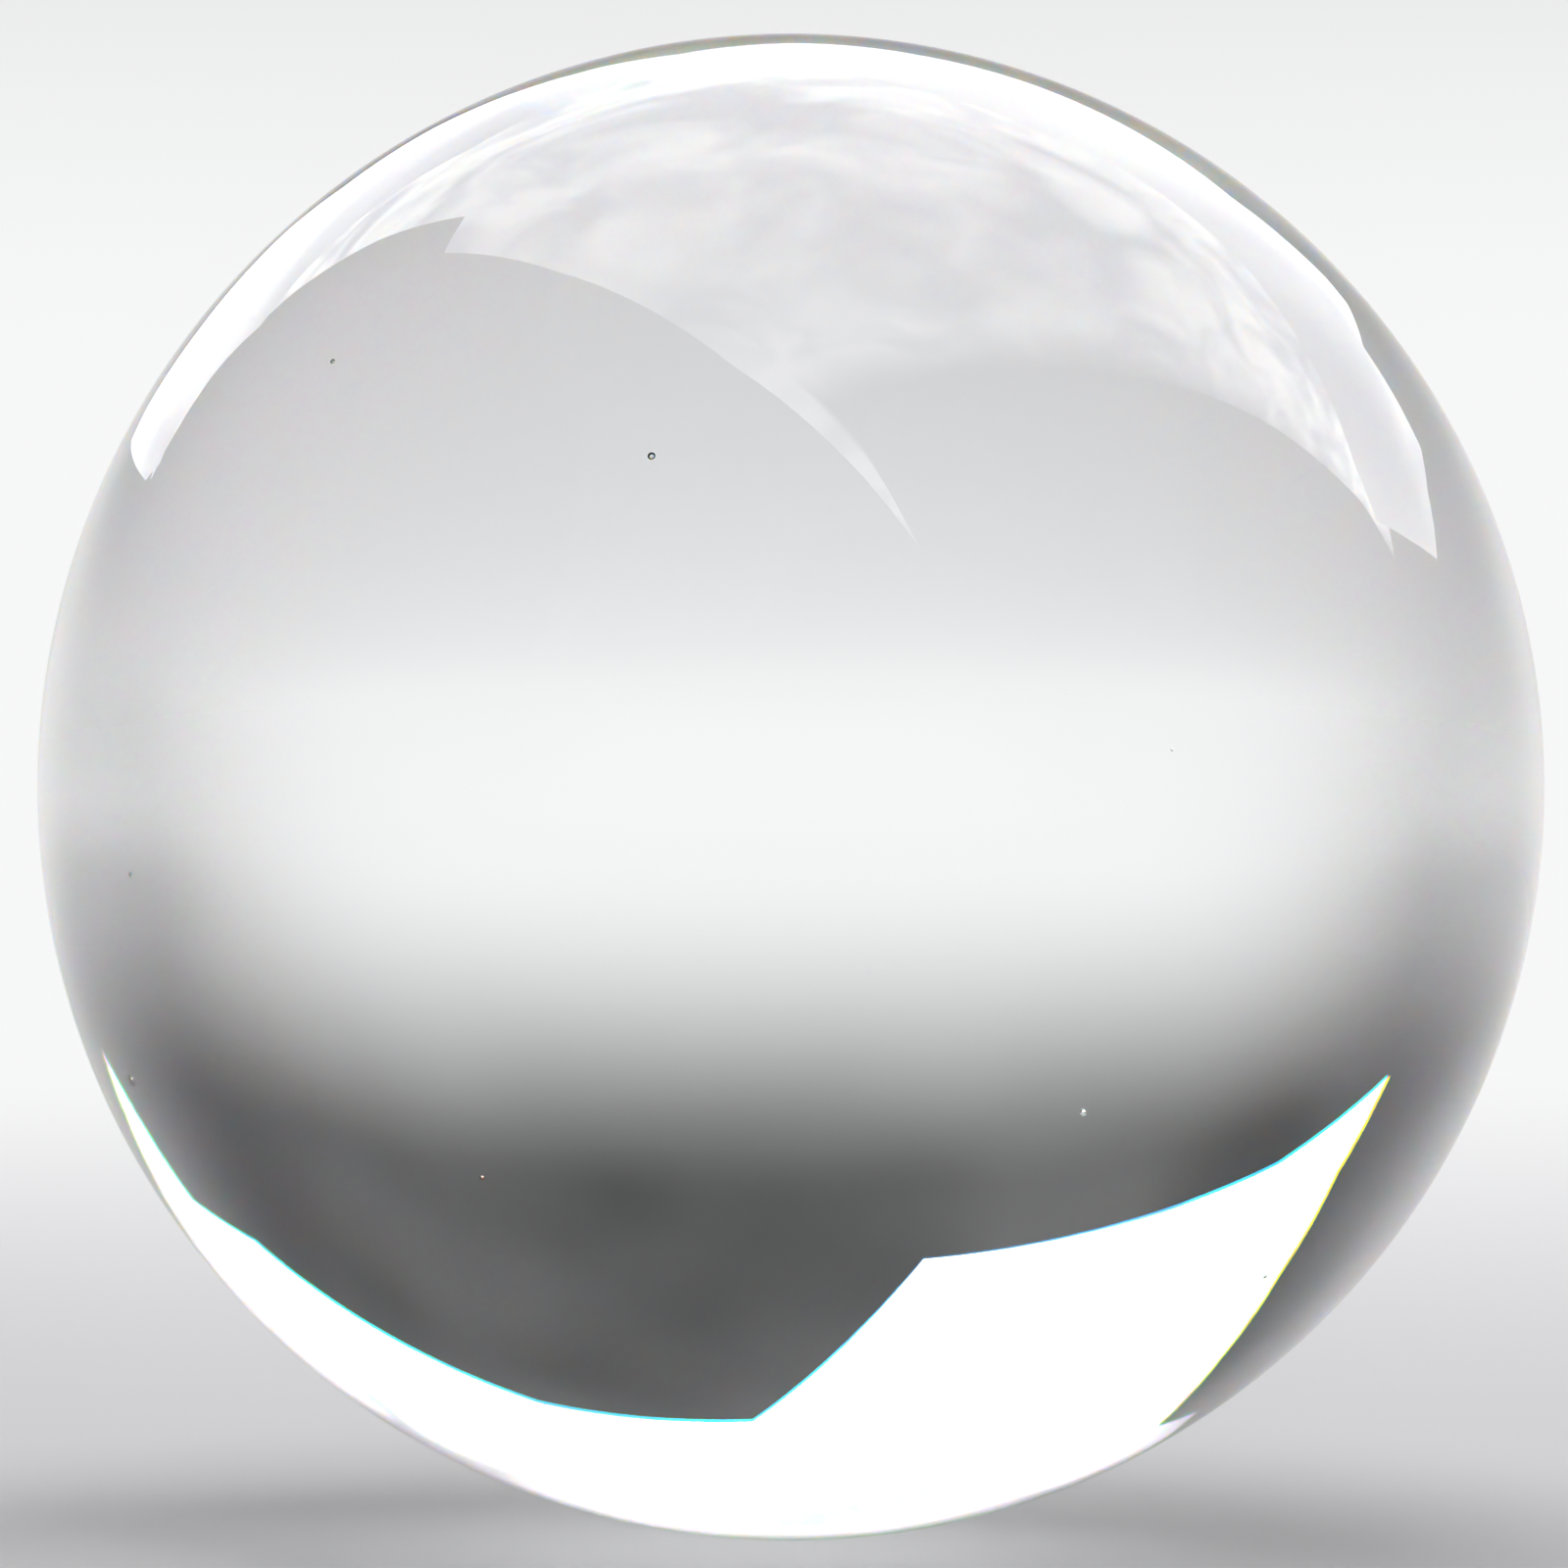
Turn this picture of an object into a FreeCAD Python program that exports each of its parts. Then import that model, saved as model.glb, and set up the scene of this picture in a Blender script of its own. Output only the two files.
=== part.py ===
import FreeCAD, Part
import os

# A lens ball: one solid sphere of clear optical glass. It is ground round and polished all over, so it has
# no seam, foot, flat or hole, and it holds nothing inside. It lies in a stand or a hand.

# Driving dimension, in millimetres: across the ball, in any direction
BALL_DIAMETER = 80.0

# The frame's origin is the ball's centre. +Z points up, away from the point that rests in a stand.
BALL_CENTRE = FreeCAD.Vector(0, 0, 0)


def glass_ball():
    """The whole object, a full sphere of solid glass."""
    return Part.makeSphere(BALL_DIAMETER / 2, BALL_CENTRE)


PIECES = {"glass_ball": glass_ball}

os.makedirs("parts", exist_ok=True)
for node, make_piece in PIECES.items():
    piece = make_piece()
    piece.exportStep(f"parts/{node}.step")
    print(f"{node}: {len(piece.Solids)} solid, valid {piece.isValid()}, {piece.Volume:.1f} mm3")
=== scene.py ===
import bpy
import math
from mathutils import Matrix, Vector


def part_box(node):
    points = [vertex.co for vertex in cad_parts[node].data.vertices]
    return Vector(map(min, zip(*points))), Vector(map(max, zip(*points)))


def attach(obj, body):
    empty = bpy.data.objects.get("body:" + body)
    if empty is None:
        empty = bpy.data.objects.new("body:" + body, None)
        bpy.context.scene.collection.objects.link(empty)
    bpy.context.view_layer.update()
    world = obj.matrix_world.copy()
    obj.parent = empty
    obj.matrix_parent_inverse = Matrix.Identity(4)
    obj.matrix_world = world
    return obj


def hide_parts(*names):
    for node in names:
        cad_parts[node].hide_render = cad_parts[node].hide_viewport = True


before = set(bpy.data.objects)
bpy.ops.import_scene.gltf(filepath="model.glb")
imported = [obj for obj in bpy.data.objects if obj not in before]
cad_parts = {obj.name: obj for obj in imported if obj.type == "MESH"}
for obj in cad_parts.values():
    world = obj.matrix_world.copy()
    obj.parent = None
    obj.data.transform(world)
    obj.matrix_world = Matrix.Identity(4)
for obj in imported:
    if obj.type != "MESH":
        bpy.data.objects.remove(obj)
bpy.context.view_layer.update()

scene = bpy.context.scene

# The ball: one solid sphere of clear optical glass, cast as a gob, ground round between cup tools and
# polished all over. A few seeds, the tiny bubbles that the melt trapped, are closed hollows inside it.
ball_low, ball_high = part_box("glass_ball")
BALL_RADIUS = (ball_high.z - ball_low.z) / 2
BALL_FACE_STEPS = 7
SEED_FACE_STEPS = 4
# Seeds that show, each with its centre as shares of the ball's radius and its own radius in metres
SHOWN_SEEDS = (
    (Vector((-0.16, -0.753, 0.38)), 0.00019),
    (Vector((-0.826, -0.354, -0.368)), 0.00031),
)
FINE_SEEDS = 9
FINE_SEED_SMALLEST = 0.00005
FINE_SEED_LARGEST = 0.00014
FINE_SEED_REACH_SHARE = 0.9
FINE_SEED_RANDOM = 11
# A random depth to this power spreads the seeds evenly through a ball
EVEN_SPREAD_POWER = 1 / 3
# Polishing leaves slow, shallow waves in the skin
WAVE_DEPTH = 0.00004
WAVE_LENGTH = 0.018
WAVE_DETAIL = 1.0


def geometry_tree(name):
    """An empty Geometry Nodes tree that takes geometry in and gives geometry out."""
    tree = bpy.data.node_groups.new(name, "GeometryNodeTree")
    tree.interface.new_socket("Geometry", in_out="INPUT", socket_type="NodeSocketGeometry")
    tree.interface.new_socket("Geometry", in_out="OUTPUT", socket_type="NodeSocketGeometry")
    return tree


def tree_node(tree, kind, values=None, **settings):
    """A new node of a tree, with its settings and the values of its input sockets."""
    node = tree.nodes.new(kind)
    for setting, value in settings.items():
        setattr(node, setting, value)
    for socket, value in (values or {}).items():
        node.inputs[socket].default_value = value
    return node


def seeds_mesh(seeds):
    """A point for each seed that shows, with its radius as an attribute."""
    mesh = bpy.data.meshes.new("glass_ball_polished")
    mesh.from_pydata([centre * BALL_RADIUS for centre, _ in seeds], [], [])
    radii = mesh.attributes.new("seed_radius", "FLOAT", "POINT")
    radii.data.foreach_set("value", [radius for _, radius in seeds])
    return mesh


def cast_glass_tree():
    """The ball's skin round its seeds. Each seed is a small shell whose faces look into the hollow."""
    tree = geometry_tree("cast_glass")
    for name, kind in (
        ("Ball Radius", "NodeSocketFloat"),
        ("Ball Face Steps", "NodeSocketInt"),
        ("Wave Depth", "NodeSocketFloat"),
        ("Waves per Metre", "NodeSocketFloat"),
        ("Seed Face Steps", "NodeSocketInt"),
        ("Fine Seeds", "NodeSocketInt"),
        ("Smallest Fine Seed", "NodeSocketFloat"),
        ("Largest Fine Seed", "NodeSocketFloat"),
        ("Fine Seed Reach", "NodeSocketFloat"),
        ("Random Seed", "NodeSocketInt"),
        ("Glass", "NodeSocketMaterial"),
    ):
        tree.interface.new_socket(name, in_out="INPUT", socket_type=kind)
    given = tree_node(tree, "NodeGroupInput").outputs
    link = tree.links.new

    skin = tree_node(tree, "GeometryNodeMeshIcoSphere")
    link(given["Ball Radius"], skin.inputs["Radius"])
    link(given["Ball Face Steps"], skin.inputs["Subdivisions"])
    waves = tree_node(tree, "ShaderNodeTexNoise", {"Detail": WAVE_DETAIL})
    inward = tree_node(tree, "ShaderNodeMath", {1: -1.0}, operation="MULTIPLY")
    wave_depth = tree_node(tree, "ShaderNodeMath", operation="MULTIPLY")
    wave_offset = tree_node(tree, "ShaderNodeVectorMath", operation="SCALE")
    polished_skin = tree_node(tree, "GeometryNodeSetPosition")
    link(given["Waves per Metre"], waves.inputs["Scale"])
    link(given["Wave Depth"], inward.inputs[0])
    link(waves.outputs[0], wave_depth.inputs[0])
    link(inward.outputs["Value"], wave_depth.inputs[1])
    link(tree_node(tree, "GeometryNodeInputNormal").outputs["Normal"], wave_offset.inputs["Vector"])
    link(wave_depth.outputs["Value"], wave_offset.inputs["Scale"])
    link(skin.outputs["Mesh"], polished_skin.inputs["Geometry"])
    link(wave_offset.outputs["Vector"], polished_skin.inputs["Offset"])

    hollow = tree_node(tree, "GeometryNodeMeshIcoSphere", {"Radius": 1.0})
    link(given["Seed Face Steps"], hollow.inputs["Subdivisions"])
    hollow_inward = tree_node(tree, "GeometryNodeFlipFaces")
    link(hollow.outputs["Mesh"], hollow_inward.inputs["Mesh"])

    fine_points = tree_node(tree, "GeometryNodePoints")
    way = tree_node(tree, "FunctionNodeRandomValue", data_type="FLOAT_VECTOR")
    way.inputs["Min"].default_value = (-1, -1, -1)
    way.inputs["Max"].default_value = (1, 1, 1)
    unit_way = tree_node(tree, "ShaderNodeVectorMath", operation="NORMALIZE")
    depth = tree_node(tree, "FunctionNodeRandomValue", data_type="FLOAT")
    even_depth = tree_node(tree, "ShaderNodeMath", {1: EVEN_SPREAD_POWER}, operation="POWER")
    reach = tree_node(tree, "ShaderNodeMath", operation="MULTIPLY")
    place = tree_node(tree, "ShaderNodeVectorMath", operation="SCALE")
    fine_radius = tree_node(tree, "FunctionNodeRandomValue", data_type="FLOAT")
    link(given["Fine Seeds"], fine_points.inputs["Count"])
    for node in (way, depth, fine_radius):
        link(given["Random Seed"], node.inputs["Seed"])
    link(way.outputs["Value"], unit_way.inputs["Vector"])
    link(depth.outputs[1], even_depth.inputs[0])
    link(even_depth.outputs["Value"], reach.inputs[0])
    link(given["Fine Seed Reach"], reach.inputs[1])
    link(unit_way.outputs["Vector"], place.inputs["Vector"])
    link(reach.outputs["Value"], place.inputs["Scale"])
    link(place.outputs["Vector"], fine_points.inputs["Position"])
    link(given["Smallest Fine Seed"], fine_radius.inputs[2])
    link(given["Largest Fine Seed"], fine_radius.inputs[3])

    fine_seeds = tree_node(tree, "GeometryNodeInstanceOnPoints")
    link(fine_points.outputs["Points"], fine_seeds.inputs["Points"])
    link(hollow_inward.outputs["Mesh"], fine_seeds.inputs["Instance"])
    link(fine_radius.outputs[1], fine_seeds.inputs["Scale"])

    own_radius = tree_node(
        tree,
        "GeometryNodeInputNamedAttribute",
        {"Name": "seed_radius"},
        data_type="FLOAT",
    )
    shown_seeds = tree_node(tree, "GeometryNodeInstanceOnPoints")
    link(given["Geometry"], shown_seeds.inputs["Points"])
    link(hollow_inward.outputs["Mesh"], shown_seeds.inputs["Instance"])
    link(own_radius.outputs["Attribute"], shown_seeds.inputs["Scale"])

    whole = tree_node(tree, "GeometryNodeJoinGeometry")
    link(polished_skin.outputs["Geometry"], whole.inputs["Geometry"])
    link(fine_seeds.outputs["Instances"], whole.inputs["Geometry"])
    link(shown_seeds.outputs["Instances"], whole.inputs["Geometry"])
    smooth = tree_node(tree, "GeometryNodeSetShadeSmooth")
    plain_mesh = tree_node(tree, "GeometryNodeRealizeInstances")
    finished = tree_node(tree, "GeometryNodeSetMaterial")
    link(whole.outputs["Geometry"], plain_mesh.inputs["Geometry"])
    link(plain_mesh.outputs["Geometry"], smooth.inputs["Geometry"])
    link(smooth.outputs["Geometry"], finished.inputs["Geometry"])
    link(given["Glass"], finished.inputs["Material"])
    link(finished.outputs["Geometry"], tree_node(tree, "NodeGroupOutput").inputs["Geometry"])
    return tree


def grown_piece(name, start_mesh, tree, values):
    """The plain mesh that a tree makes, as an object at the origin."""
    seedling = bpy.data.objects.new(name + "_start", start_mesh)
    scene.collection.objects.link(seedling)
    modifier = seedling.modifiers.new("grow", "NODES")
    modifier.node_group = tree
    for socket in tree.interface.items_tree:
        if socket.item_type == "SOCKET" and socket.in_out == "INPUT" and socket.name in values:
            modifier[socket.identifier] = values[socket.name]
    depsgraph = bpy.context.evaluated_depsgraph_get()
    mesh = bpy.data.meshes.new_from_object(seedling.evaluated_get(depsgraph))
    seedling.modifiers.remove(modifier)
    bpy.data.objects.remove(seedling)
    mesh.name = name
    piece = bpy.data.objects.new(name, mesh)
    scene.collection.objects.link(piece)
    return piece


# Refractive index of crown glass in yellow light, and how far the warm and the cool half lie from it
GLASS_INDEX = 1.517
INDEX_SPREAD = 0.004
AIR_INDEX = 1.0
WHOLE_LIGHT = (1.0, 1.0, 1.0, 1.0)
WARM_HALF = (1.0, 0.5, 0.0, 1.0)
COOL_HALF = (0.0, 0.5, 1.0, 1.0)
# Light that meets the skin this far from the middle, as shares of the radius, comes out with coloured edges
COLOUR_EDGES_FROM_SHARE = 0.60
COLOUR_EDGES_WHOLE_SHARE = 0.80
# With this blend, the facing value is one less the cosine of the angle between light and skin's normal
COSINE_BLEND = 0.5
# About what a metre of the glass leaves of red, green and blue
GLASS_TINT = (0.80, 0.90, 0.87, 1.0)
GLASS_TINT_DENSITY = 1.0
# Faint marks of the last wipe with a cloth
WIPE_MARK_ROUGHNESS = 0.02
WIPE_MARKS_PER_METRE = (70, 70, 420)
WIPE_MARK_TURN = (0.5, 0.3, 0.9)
WIPE_MARK_DETAIL = 3.0
WIPE_MARKS_FROM = 0.52
WIPE_MARKS_WHOLE = 0.72


def coloured_edge_share(tree):
    """How far light is split into its colours: more, the more aslant it goes in or out through the skin."""
    aslant = tree_node(tree, "ShaderNodeLayerWeight", {"Blend": COSINE_BLEND})
    skin_side = tree_node(tree, "ShaderNodeNewGeometry")
    pick = tree_node(tree, "ShaderNodeMix", data_type="FLOAT")
    tree.links.new(skin_side.outputs["Backfacing"], pick.inputs[0])
    for socket, index in ((2, AIR_INDEX), (3, GLASS_INDEX)):
        start, whole = (
            1 - math.sqrt(1 - (share / index) ** 2)
            for share in (COLOUR_EDGES_FROM_SHARE, COLOUR_EDGES_WHOLE_SHARE)
        )
        rise = tree_node(
            tree,
            "ShaderNodeMapRange",
            {"From Min": start, "From Max": whole},
            interpolation_type="SMOOTHSTEP",
        )
        tree.links.new(aslant.outputs["Facing"], rise.inputs["Value"])
        tree.links.new(rise.outputs["Result"], pick.inputs[socket])
    return pick.outputs[0]


def wiped_roughness(tree):
    """No roughness where the polish is clean, and a little in long faint marks."""
    place = tree_node(tree, "ShaderNodeTexCoord")
    lie = tree_node(tree, "ShaderNodeMapping", {"Rotation": WIPE_MARK_TURN, "Scale": WIPE_MARKS_PER_METRE})
    marks = tree_node(tree, "ShaderNodeTexNoise", {"Scale": 1.0, "Detail": WIPE_MARK_DETAIL})
    roughness = tree_node(
        tree,
        "ShaderNodeMapRange",
        {"From Min": WIPE_MARKS_FROM, "From Max": WIPE_MARKS_WHOLE, "To Max": WIPE_MARK_ROUGHNESS},
    )
    tree.links.new(place.outputs["Object"], lie.inputs["Vector"])
    tree.links.new(lie.outputs["Vector"], marks.inputs["Vector"])
    tree.links.new(marks.outputs[0], roughness.inputs["Value"])
    return roughness.outputs["Result"]


def optical_glass_material():
    """Colourless crown glass, polished, which bends cool light a little more than warm light."""
    material = bpy.data.materials.new("optical_glass")
    material.use_nodes = True
    tree = material.node_tree
    link = tree.links.new
    tree.nodes.remove(tree.nodes["Principled BSDF"])
    roughness = wiped_roughness(tree)
    plain, warm, cool = (
        tree_node(tree, "ShaderNodeBsdfGlass", {"Color": colour, "IOR": index})
        for colour, index in (
            (WHOLE_LIGHT, GLASS_INDEX),
            (WARM_HALF, GLASS_INDEX - INDEX_SPREAD),
            (COOL_HALF, GLASS_INDEX + INDEX_SPREAD),
        )
    )
    for part in (plain, warm, cool):
        link(roughness, part.inputs["Roughness"])
    split = tree_node(tree, "ShaderNodeAddShader")
    link(warm.outputs["BSDF"], split.inputs[0])
    link(cool.outputs["BSDF"], split.inputs[1])
    surface = tree_node(tree, "ShaderNodeMixShader")
    link(coloured_edge_share(tree), surface.inputs["Fac"])
    link(plain.outputs["BSDF"], surface.inputs[1])
    link(split.outputs["Shader"], surface.inputs[2])
    inside = tree_node(
        tree,
        "ShaderNodeVolumeAbsorption",
        {"Color": GLASS_TINT, "Density": GLASS_TINT_DENSITY},
    )
    finish = tree.nodes["Material Output"]
    link(surface.outputs["Shader"], finish.inputs["Surface"])
    link(inside.outputs["Volume"], finish.inputs["Volume"])
    return material


glass = optical_glass_material()
ball = grown_piece(
    "glass_ball_polished",
    seeds_mesh(SHOWN_SEEDS),
    cast_glass_tree(),
    {
        "Ball Radius": BALL_RADIUS,
        "Ball Face Steps": BALL_FACE_STEPS,
        "Wave Depth": WAVE_DEPTH,
        "Waves per Metre": 1 / WAVE_LENGTH,
        "Seed Face Steps": SEED_FACE_STEPS,
        "Fine Seeds": FINE_SEEDS,
        "Smallest Fine Seed": FINE_SEED_SMALLEST,
        "Largest Fine Seed": FINE_SEED_LARGEST,
        "Fine Seed Reach": FINE_SEED_REACH_SHARE * BALL_RADIUS,
        "Random Seed": FINE_SEED_RANDOM,
        "Glass": glass,
    },
)
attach(ball, "root")
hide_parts("glass_ball")

# The floor: a sheet of pale matt paper under the ball, wide enough that its far edge is never seen.
# Away from the ball it turns into the room's own tone, which glass sees too, so that it has no horizon.
FLOOR_REACH = 6.0
PAPER_COLOUR = (0.59, 0.59, 0.59, 1.0)
# A pale panel stands behind the ball and another behind the camera, and the floor is paler towards both
FLOOR_TONE = (0.63, 0.63, 0.635, 1.0)
PANEL_TONE = (0.93, 0.932, 0.936, 1.0)
PANEL_HALF_ANGLE = math.radians(13)
PANEL_FADED_ANGLE = math.radians(45)
ROOM_TONE_FROM = 0.06
ROOM_TONE_WHOLE = 0.6


def panel_share(tree, way):
    """One towards the middle of a panel, and none towards the room's sides, by the way from the ball."""
    level = tree_node(tree, "ShaderNodeVectorMath", {1: (1, 1, 0)}, operation="MULTIPLY")
    heading = tree_node(tree, "ShaderNodeVectorMath", operation="NORMALIZE")
    parts = tree_node(tree, "ShaderNodeSeparateXYZ")
    either_panel = tree_node(tree, "ShaderNodeMath", operation="ABSOLUTE")
    share = tree_node(
        tree,
        "ShaderNodeMapRange",
        {"From Min": math.cos(PANEL_FADED_ANGLE), "From Max": math.cos(PANEL_HALF_ANGLE)},
        interpolation_type="SMOOTHSTEP",
    )
    tree.links.new(way, level.inputs[0])
    tree.links.new(level.outputs["Vector"], heading.inputs[0])
    tree.links.new(heading.outputs["Vector"], parts.inputs["Vector"])
    tree.links.new(parts.outputs["Y"], either_panel.inputs[0])
    tree.links.new(either_panel.outputs["Value"], share.inputs["Value"])
    return share.outputs["Result"]


def room_tone_share(tree, distance):
    """How much of the room's tone a ray sees: none near the ball, and none for light off the paper."""
    link = tree.links.new
    far = tree_node(
        tree,
        "ShaderNodeMapRange",
        {"From Min": ROOM_TONE_FROM, "From Max": ROOM_TONE_WHOLE},
        interpolation_type="SMOOTHSTEP",
    )
    ray = tree_node(tree, "ShaderNodeLightPath")
    seen_or_mirrored = tree_node(tree, "ShaderNodeMath", operation="MAXIMUM")
    seen_at_all = tree_node(tree, "ShaderNodeMath", operation="MAXIMUM")
    share = tree_node(tree, "ShaderNodeMath", operation="MULTIPLY")
    link(distance, far.inputs["Value"])
    link(ray.outputs["Is Camera Ray"], seen_or_mirrored.inputs[0])
    link(ray.outputs["Is Glossy Ray"], seen_or_mirrored.inputs[1])
    link(seen_or_mirrored.outputs["Value"], seen_at_all.inputs[0])
    link(ray.outputs["Is Transmission Ray"], seen_at_all.inputs[1])
    link(seen_at_all.outputs["Value"], share.inputs[0])
    link(far.outputs["Result"], share.inputs[1])
    return share.outputs["Value"]


def paper_material():
    """Matt paper that ends in the room's tone."""
    material = bpy.data.materials.new("studio_paper")
    material.use_nodes = True
    tree = material.node_tree
    tree.nodes.remove(tree.nodes["Principled BSDF"])
    link = tree.links.new
    place = tree_node(tree, "ShaderNodeTexCoord").outputs["Object"]
    distance = tree_node(tree, "ShaderNodeVectorMath", operation="LENGTH")
    tone = tree_node(tree, "ShaderNodeMix", {"A": FLOOR_TONE, "B": PANEL_TONE}, data_type="RGBA")
    paper = tree_node(tree, "ShaderNodeBsdfDiffuse", {"Color": PAPER_COLOUR})
    room = tree_node(tree, "ShaderNodeEmission")
    mix = tree_node(tree, "ShaderNodeMixShader")
    link(place, distance.inputs[0])
    link(panel_share(tree, place), tone.inputs[0])
    link(tone.outputs[2], room.inputs["Color"])
    link(room_tone_share(tree, distance.outputs["Value"]), mix.inputs["Fac"])
    link(paper.outputs["BSDF"], mix.inputs[1])
    link(room.outputs["Emission"], mix.inputs[2])
    link(mix.outputs["Shader"], tree.nodes["Material Output"].inputs["Surface"])
    return material


def flat_sheet(name, corners, material):
    """One flat face through the corners, which is part of the studio and not of the object."""
    mesh = bpy.data.meshes.new(name)
    mesh.from_pydata(corners, [], [range(len(corners))])
    mesh.materials.append(material)
    sheet = bpy.data.objects.new(name, mesh)
    scene.collection.objects.link(sheet)
    return sheet


flat_sheet(
    "studio_floor",
    [Vector((x, y, -BALL_RADIUS)) for x, y in (
        (-FLOOR_REACH, -FLOOR_REACH),
        (FLOOR_REACH, -FLOOR_REACH),
        (FLOOR_REACH, FLOOR_REACH),
        (-FLOOR_REACH, FLOOR_REACH),
    )],
    paper_material(),
)

# The room: a pale panel at the front and back, and dimmer sides. The sides take over the floor's tone at
# eye level, so that no horizon shows, and all of it fades into a dark and uneven ceiling.
SIDE_TONE = (0.42, 0.42, 0.425, 1.0)
SIDES_DIM_FROM = math.radians(7)
ROOM_PALE_UP_TO = math.radians(3)
ROOM_DARK_FROM = math.radians(21)
CEILING_DARKEST_SHARE = 0.04
CEILING_PALEST_SHARE = 0.16
CEILING_PATCHES = 2.2
CEILING_PATCH_DETAIL = 2.0
# Most of a noise lies between these two values
NOISE_LOW = 0.35
NOISE_HIGH = 0.65


def room_world():
    """The room's tone low down, and the ceiling above."""
    world = bpy.data.worlds.new("studio_room")
    world.use_nodes = True
    tree = world.node_tree
    link = tree.links.new
    way = tree_node(tree, "ShaderNodeTexCoord").outputs["Generated"]
    parts = tree_node(tree, "ShaderNodeSeparateXYZ")
    height = tree_node(tree, "ShaderNodeMath", operation="ARCSINE")
    patches = tree_node(
        tree,
        "ShaderNodeTexNoise",
        {"Scale": CEILING_PATCHES, "Detail": CEILING_PATCH_DETAIL},
    )
    ceiling = tree_node(
        tree,
        "ShaderNodeMapRange",
        {
            "From Min": NOISE_LOW,
            "From Max": NOISE_HIGH,
            "To Min": CEILING_DARKEST_SHARE,
            "To Max": CEILING_PALEST_SHARE,
        },
    )
    fade = tree_node(
        tree,
        "ShaderNodeMapRange",
        {"From Min": ROOM_PALE_UP_TO, "From Max": ROOM_DARK_FROM, "To Min": 1.0},
        interpolation_type="SMOOTHSTEP",
    )
    dimness = tree_node(
        tree,
        "ShaderNodeMapRange",
        {"From Max": SIDES_DIM_FROM},
        interpolation_type="SMOOTHSTEP",
    )
    side = tree_node(tree, "ShaderNodeMix", {"A": FLOOR_TONE, "B": SIDE_TONE}, data_type="RGBA")
    tone = tree_node(tree, "ShaderNodeMix", {"B": PANEL_TONE}, data_type="RGBA")
    background = tree.nodes["Background"]
    link(way, parts.inputs["Vector"])
    link(parts.outputs["Z"], height.inputs[0])
    link(height.outputs["Value"], fade.inputs["Value"])
    link(way, patches.inputs["Vector"])
    link(patches.outputs[0], ceiling.inputs["Value"])
    link(ceiling.outputs["Result"], fade.inputs["To Max"])
    link(height.outputs["Value"], dimness.inputs["Value"])
    link(dimness.outputs["Result"], side.inputs[0])
    link(side.outputs[2], tone.inputs["A"])
    link(panel_share(tree, way), tone.inputs[0])
    link(tone.outputs[2], background.inputs["Color"])
    link(fade.outputs["Result"], background.inputs["Strength"])
    return world


scene.world = room_world()

# The scrim: a sheet of white cloth stretched flat over the set and lit from above. Its long left edge
# shows in the ball's front as a sharp curve, and its notched far edge at the ball's foot, upside down.
SCRIM_HEIGHT = 0.62
# Corners as shares of the height, to the right and to the back, from the ball's centre
SCRIM_CORNER_SHARES = (
    # The narrow near end, and the soft right edge
    (0.53, -1.37), (0.17, -0.76), (0.30, -0.56), (1.30, 0.25), (2.00, 0.78), (2.65, 1.12),
    # The notched far edge, from right to left
    (2.00, 1.05), (1.45, 0.92), (1.18, 1.13), (0.41, 1.08), (0.06, 1.19), (-0.28, 2.19),
    (-1.30, 2.08), (-2.08, 2.22),
    # The long left edge, with its one sharp corner, back to the near end
    (-1.42, 1.64), (-1.00, 1.15), (-0.75, 0.80), (-0.57, 0.50), (-0.65, 0.38), (-0.45, 0.00),
    (-0.13, -0.51), (0.23, -0.97),
)
SCRIM_RADIANCE = 2.6
# The lamp above the cloth stands nearer to its right end: the cloth brightens between these two places
BRIGHT_END_FROM_SHARE = 0.5
BRIGHT_END_WHOLE_SHARE = 2.2
BRIGHT_END_GAIN = 1.6
# The near right edge is soft: the cloth darkens over this width, along a line given by a point and a way
SOFT_EDGE_POINT_SHARE = Vector((0.30, -0.56, 1.0))
SOFT_EDGE_WAY = Vector((2.35, 1.62, 0.0)).normalized()
SOFT_EDGE_WIDTH_SHARE = 0.22
# The narrow near end, left of a line given by a point and a way, stays bright
END_POINT_SHARE = Vector((0.03, -0.56, 1.0))
END_WAY = Vector((0.144, -0.203, 0.0)).normalized()
END_EDGE_WIDTH_SHARE = 0.03
# The cloth is thinner and thicker in soft clouds, which let through more or less of the lamp above it
CLOUDS_PER_METRE = 7.0
CLOUD_DETAIL = 4.0
CLOUD_DISTORTION = 0.6
CLOUD_THICK_SHARE = 0.62
CLOUD_THIN_SHARE = 1.30
CLOUD_THICK_COLOUR = (0.90, 0.91, 1.0, 1.0)
CLOUD_THIN_COLOUR = (1.0, 0.985, 0.96, 1.0)
UPWARDS = Vector((0, 0, 1))


def level_corners(corner_shares, height):
    """The corners of a level sheet, from their places as shares of its height."""
    return [Vector((right, back, 1)) * height for right, back in corner_shares]


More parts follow.
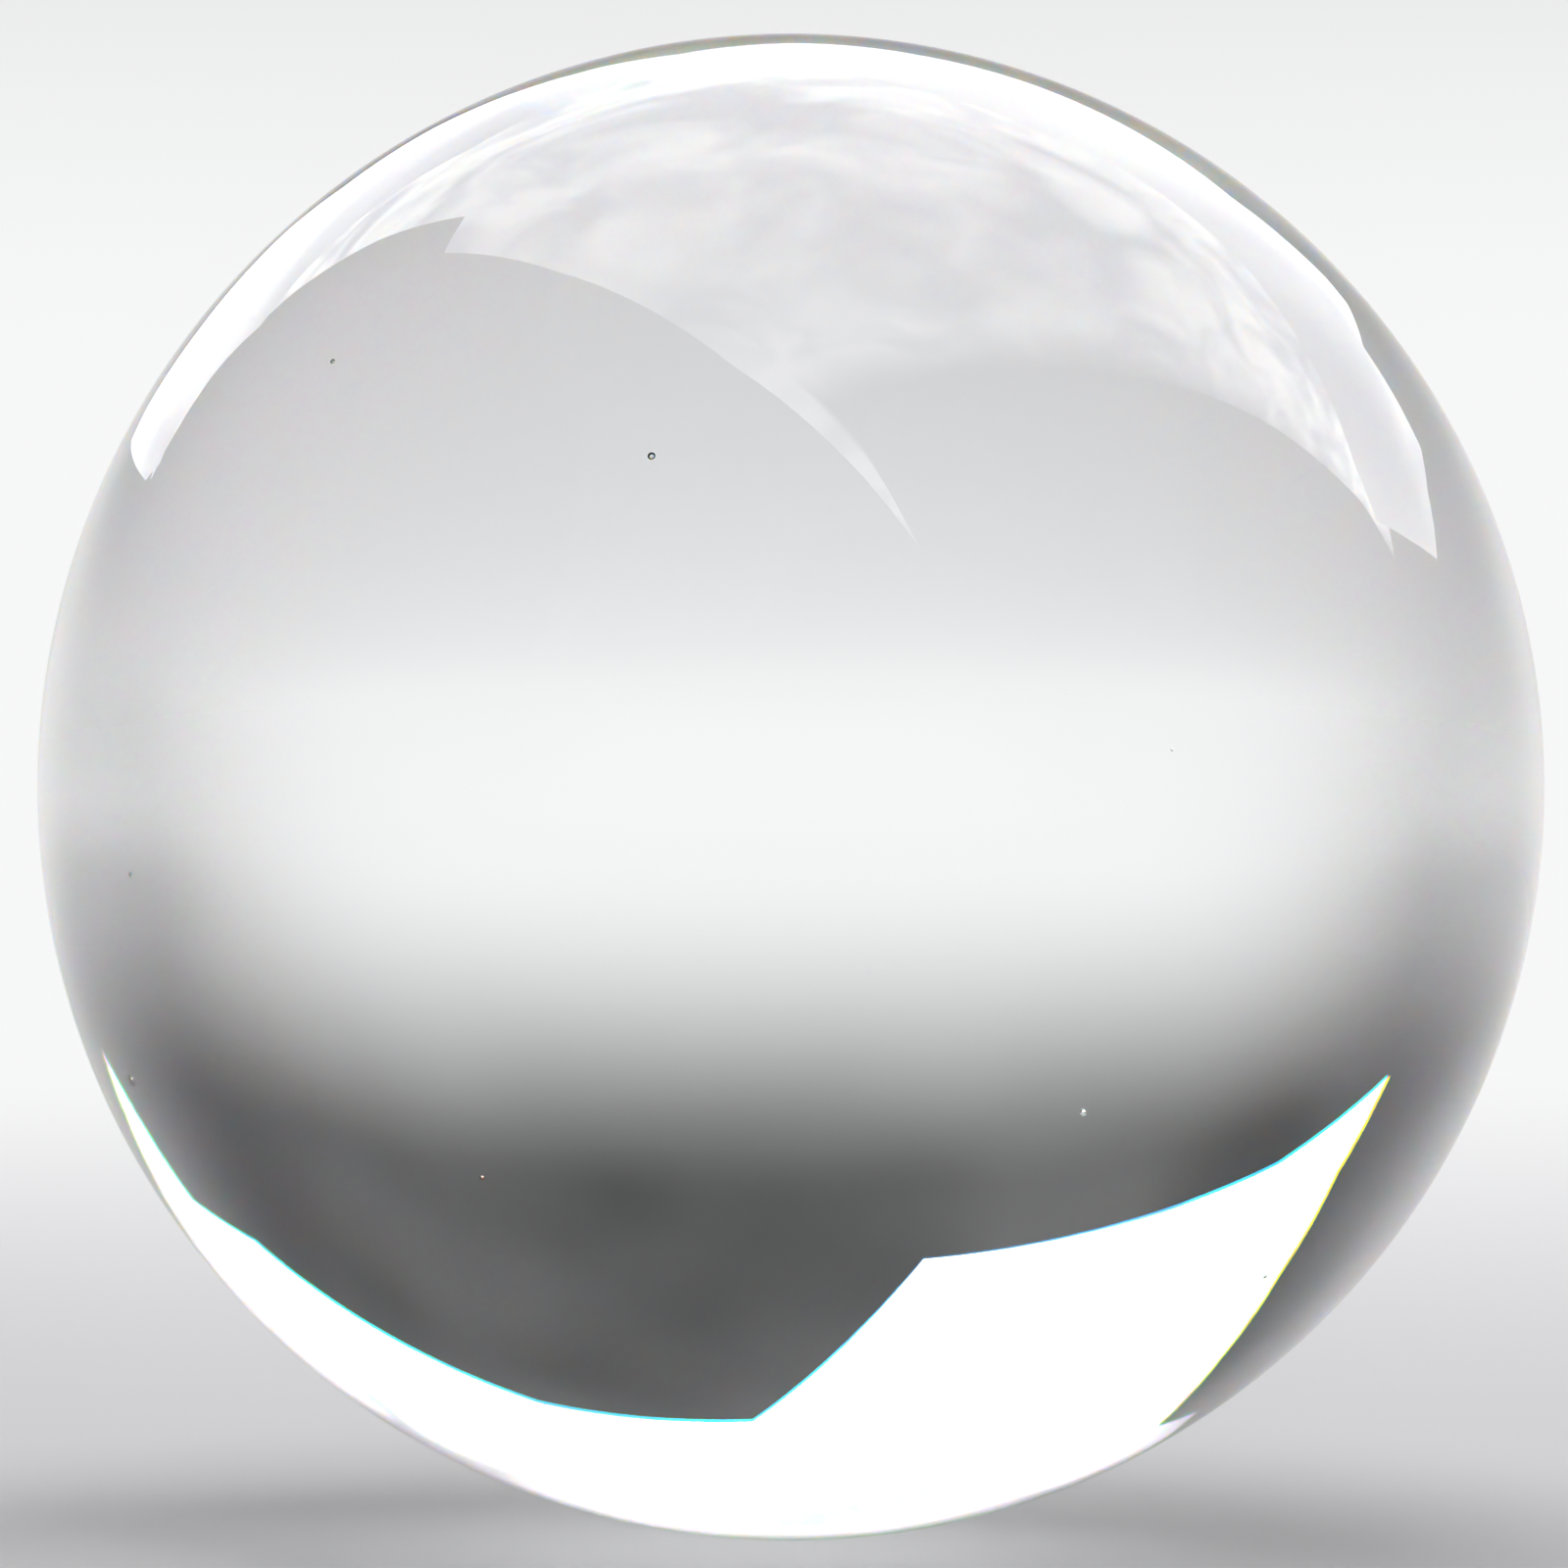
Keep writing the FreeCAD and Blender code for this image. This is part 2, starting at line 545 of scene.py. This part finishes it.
def scrim_brightness(tree, place):
    """One on the lit cloth, and none beyond its soft edge."""
    soft_edge_normal = SOFT_EDGE_WAY.cross(UPWARDS)
    soft_edge = soft_edge_normal.dot(SOFT_EDGE_POINT_SHARE) * SCRIM_HEIGHT
    end_normal = UPWARDS.cross(END_WAY)
    end_edge = end_normal.dot(END_POINT_SHARE) * SCRIM_HEIGHT
    brighter = tree_node(tree, "ShaderNodeMath", operation="MAXIMUM")
    for socket, normal, edge, width_share in (
        (0, soft_edge_normal, soft_edge, SOFT_EDGE_WIDTH_SHARE),
        (1, end_normal, end_edge, END_EDGE_WIDTH_SHARE),
    ):
        across = tree_node(tree, "ShaderNodeVectorMath", {1: normal}, operation="DOT_PRODUCT")
        fade = tree_node(
            tree,
            "ShaderNodeMapRange",
            {"From Min": edge - width_share * SCRIM_HEIGHT, "From Max": edge, "To Min": 1.0, "To Max": 0.0},
            interpolation_type="SMOOTHSTEP",
        )
        tree.links.new(place, across.inputs[0])
        tree.links.new(across.outputs["Value"], fade.inputs["Value"])
        tree.links.new(fade.outputs["Result"], brighter.inputs[socket])
    return brighter.outputs["Value"]


def scrim_material():
    """Cloth lit from above, softly cloudy all over."""
    material = bpy.data.materials.new("scrim_cloth")
    material.use_nodes = True
    tree = material.node_tree
    tree.nodes.remove(tree.nodes["Principled BSDF"])
    link = tree.links.new
    place = tree_node(tree, "ShaderNodeTexCoord").outputs["Object"]
    clouds = tree_node(
        tree,
        "ShaderNodeTexNoise",
        {"Scale": CLOUDS_PER_METRE, "Detail": CLOUD_DETAIL, "Distortion": CLOUD_DISTORTION},
    )
    thinness = tree_node(tree, "ShaderNodeMapRange", {"From Min": NOISE_LOW, "From Max": NOISE_HIGH})
    share = tree_node(
        tree,
        "ShaderNodeMapRange",
        {"To Min": CLOUD_THICK_SHARE, "To Max": CLOUD_THIN_SHARE},
    )
    colour = tree_node(
        tree,
        "ShaderNodeMix",
        {"A": CLOUD_THICK_COLOUR, "B": CLOUD_THIN_COLOUR},
        data_type="RGBA",
    )
    parts = tree_node(tree, "ShaderNodeSeparateXYZ")
    lamp_gain = tree_node(
        tree,
        "ShaderNodeMapRange",
        {
            "From Min": BRIGHT_END_FROM_SHARE * SCRIM_HEIGHT,
            "From Max": BRIGHT_END_WHOLE_SHARE * SCRIM_HEIGHT,
            "To Min": SCRIM_RADIANCE,
            "To Max": SCRIM_RADIANCE * BRIGHT_END_GAIN,
        },
    )
    uneven = tree_node(tree, "ShaderNodeMath", operation="MULTIPLY")
    strength = tree_node(tree, "ShaderNodeMath", operation="MULTIPLY")
    glow = tree_node(tree, "ShaderNodeEmission")
    link(place, clouds.inputs["Vector"])
    link(clouds.outputs[0], thinness.inputs["Value"])
    link(thinness.outputs["Result"], share.inputs["Value"])
    link(thinness.outputs["Result"], colour.inputs[0])
    link(scrim_brightness(tree, place), uneven.inputs[0])
    link(share.outputs["Result"], uneven.inputs[1])
    link(place, parts.inputs["Vector"])
    link(parts.outputs["X"], lamp_gain.inputs["Value"])
    link(uneven.outputs["Value"], strength.inputs[0])
    link(lamp_gain.outputs["Result"], strength.inputs[1])
    link(colour.outputs[2], glow.inputs["Color"])
    link(strength.outputs["Value"], glow.inputs["Strength"])
    link(glow.outputs["Emission"], tree.nodes["Material Output"].inputs["Surface"])
    return material


cloth = scrim_material()
scrim = flat_sheet("studio_scrim", level_corners(SCRIM_CORNER_SHARES, SCRIM_HEIGHT), cloth)
scrim.visible_camera = False

# The strip: a narrow piece of the same cloth, low over the back of the ball, which mirrors it along its
# upper left and right rims. It serves their gloss alone: neither the floor nor light that comes through
# the glass meets it.
STRIP_HEIGHT = 0.07
STRIP_CORNER_SHARES = (
    # The far edge over the right rim, out to the right end
    (0.35, 0.90), (0.50, 0.95), (0.75, 1.00), (1.05, 1.45), (1.15, 1.50), (1.30, 1.15),
    (1.85, 1.50), (2.15, 1.40), (2.85, 1.50),
    # The near edge, from right to left
    (2.50, 0.90), (2.20, 0.45), (1.75, 0.35), (1.20, 0.35), (0.85, 0.35), (0.60, 0.30),
    (0.35, 0.23), (0.18, 0.24), (0.00, 0.33), (-0.30, 0.40), (-0.50, 0.40), (-0.80, 0.55),
    (-1.15, 0.65), (-1.35, 0.90), (-1.50, 1.05), (-1.75, 1.30), (-1.95, 1.40), (-2.10, 1.70),
    (-2.00, 2.60),
    # The far edge over the left rim, back to the middle
    (-1.90, 3.50), (-1.70, 3.50), (-1.30, 2.75), (-0.90, 2.40), (-0.75, 1.75), (-0.55, 1.60),
    (-0.40, 1.20), (-0.28, 0.92), (-0.15, 0.75), (0.00, 0.82), (0.18, 0.82),
)
strip = flat_sheet("studio_strip", level_corners(STRIP_CORNER_SHARES, STRIP_HEIGHT), cloth)
strip.visible_camera = False
strip.visible_diffuse = False
strip.visible_transmission = False
strip.visible_shadow = False

# The camera: level with the ball's centre and close in front of it, so that the ball fills the picture.
# Its lens and its shift put the ball's outline on the circle that is given here in picture pixels.
PICTURE_SIDE_PIXELS = 1600
BALL_CENTRE_PIXELS = (807, 803)
BALL_RADIUS_PIXELS = 769.5
CAMERA_DISTANCE = 0.36
LEVEL_TILT = math.radians(90)
camera_data = bpy.data.cameras.new("photo_camera")
ball_half_width = math.tan(math.asin(BALL_RADIUS / CAMERA_DISTANCE))
half_width = ball_half_width * PICTURE_SIDE_PIXELS / 2 / BALL_RADIUS_PIXELS
camera_data.lens = camera_data.sensor_width / 2 / half_width
camera_data.shift_x = (PICTURE_SIDE_PIXELS / 2 - BALL_CENTRE_PIXELS[0]) / PICTURE_SIDE_PIXELS
camera_data.shift_y = (BALL_CENTRE_PIXELS[1] - PICTURE_SIDE_PIXELS / 2) / PICTURE_SIDE_PIXELS
camera = bpy.data.objects.new("photo_camera", camera_data)
camera.location = (0, -CAMERA_DISTANCE, 0)
camera.rotation_euler = (LEVEL_TILT, 0, 0)
scene.collection.objects.link(camera)
scene.camera = camera
scene.view_settings.view_transform = "Standard"
